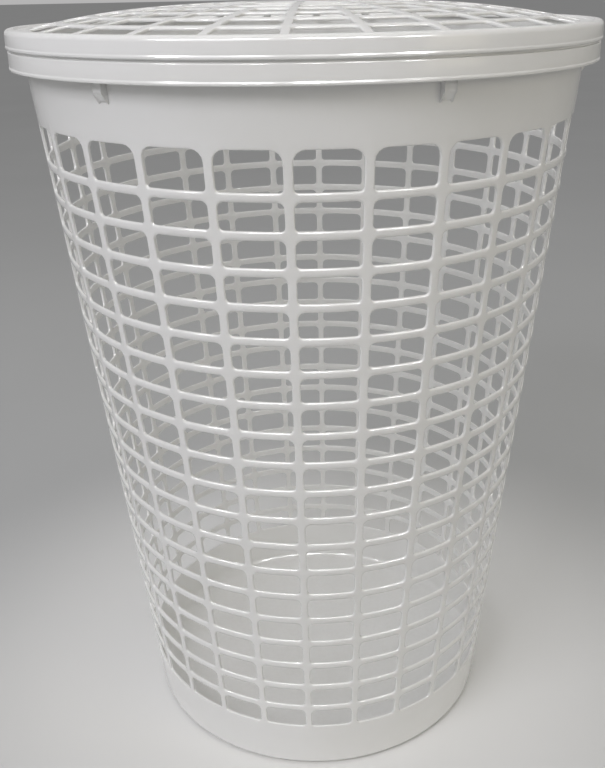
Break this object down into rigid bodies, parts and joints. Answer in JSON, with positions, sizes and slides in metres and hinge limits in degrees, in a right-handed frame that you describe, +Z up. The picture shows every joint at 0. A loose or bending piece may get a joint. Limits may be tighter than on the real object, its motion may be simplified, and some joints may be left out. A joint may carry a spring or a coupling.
{
  "type": "laundry hamper",
  "caption": "Tall round tapered laundry hamper with an open lattice wall and a lift-off lid with a low dome grille.",
  "frame": {"origin": "centre of the footprint on the floor", "axes": "+Z up along the hamper's axis; -Y towards the first vertical rib of the lattice"},
  "size_m": [0.4269, 0.427, 0.5912],
  "materials": {
    "basket_plastic": "glossy moulded white polypropylene",
    "lid_plastic": "glossy moulded white polypropylene"
  },
  "bodies": {
    "basket": {"floor_pan": "basket_plastic", "lower_band": "basket_plastic", "wall_panel_01": "basket_plastic", "wall_panel_02": "basket_plastic", "wall_panel_03": "basket_plastic", "wall_panel_04": "basket_plastic", "wall_panel_05": "basket_plastic", "wall_panel_06": "basket_plastic", "wall_panel_07": "basket_plastic", "wall_panel_08": "basket_plastic", "wall_panel_09": "basket_plastic", "wall_panel_10": "basket_plastic", "wall_panel_11": "basket_plastic", "wall_panel_12": "basket_plastic", "wall_panel_13": "basket_plastic", "upper_band": "basket_plastic", "rim_flange": "basket_plastic", "rim_skirt": "basket_plastic", "stacking_lugs": "basket_plastic"},
    "lid": {"lid_skirt": "lid_plastic", "lid_ledge": "lid_plastic", "lid_outer_grille": "lid_plastic", "lid_inner_grille": "lid_plastic", "lid_hub": "lid_plastic"}
  },
  "joints": [
    {"name": "lid_lift", "type": "slide", "parent": "basket", "child": "lid", "axis": [0, 0, 1], "range_m": [0, 0.15]}
  ]
}
